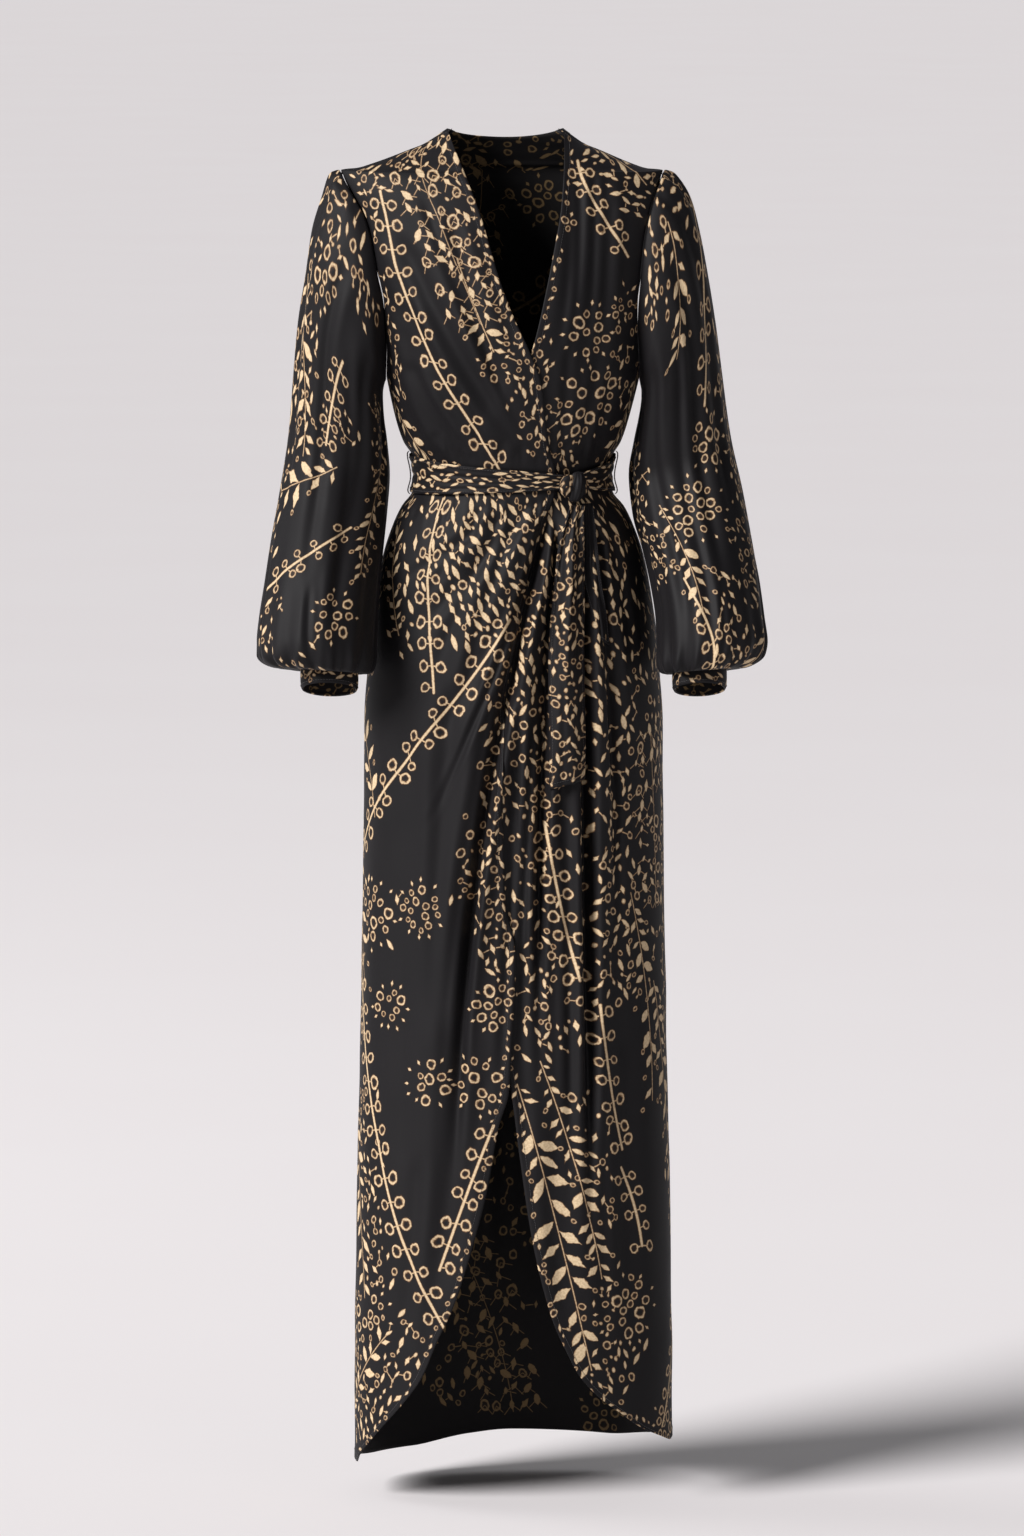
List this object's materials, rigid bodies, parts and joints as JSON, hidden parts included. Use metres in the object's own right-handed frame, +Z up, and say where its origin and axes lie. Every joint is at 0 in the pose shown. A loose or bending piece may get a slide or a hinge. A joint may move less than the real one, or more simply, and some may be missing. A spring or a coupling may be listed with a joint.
{
  "type": "wrap dress",
  "caption": "Long wrap dress with a deep V neck, gathered bishop sleeves on narrow cuffs, a knotted sash belt and a curved tulip hem that opens at the front.",
  "frame": {"origin": "on the middle line of the body, level with the shoulder tips, midway between the front and the back of the shoulder ridge, where the wearer's shoulders carry the dress", "axes": "+Z up along the wearer, -Y towards the front of the dress, +X towards the wearer's left"},
  "size_m": [0.5561, 0.2945, 1.4695],
  "materials": {
    "belt": "black crepe with a tan gold print",
    "belt_knot": "black crepe with a tan gold print",
    "belt_loop_left": "matt thread, black",
    "belt_loop_right": "matt thread, black",
    "belt_tail_long": "black crepe with a tan gold print",
    "belt_tail_short": "black crepe with a tan gold print",
    "bodice_back": "black crepe with a tan gold print",
    "bodice_front_left": "black crepe with a tan gold print",
    "bodice_front_right": "black crepe with a tan gold print",
    "cuff_left": "black crepe with a tan gold print",
    "cuff_right": "black crepe with a tan gold print",
    "skirt_back": "black crepe with a tan gold print",
    "skirt_front_left": "black crepe with a tan gold print",
    "skirt_front_right": "black crepe with a tan gold print",
    "sleeve_left": "black crepe with a tan gold print",
    "sleeve_right": "black crepe with a tan gold print"
  },
  "bodies": {
    "root": {"belt": "belt", "belt_knot": "belt_knot", "belt_loop_left": "belt_loop_left", "belt_loop_right": "belt_loop_right", "belt_tail_long": "belt_tail_long", "belt_tail_short": "belt_tail_short", "bodice_back": "bodice_back", "bodice_front_left": "bodice_front_left", "bodice_front_right": "bodice_front_right", "cuff_left": "cuff_left", "cuff_right": "cuff_right", "skirt_back": "skirt_back", "skirt_front_left": "skirt_front_left", "skirt_front_right": "skirt_front_right", "sleeve_left": "sleeve_left", "sleeve_right": "sleeve_right"}
  },
  "joints": []
}
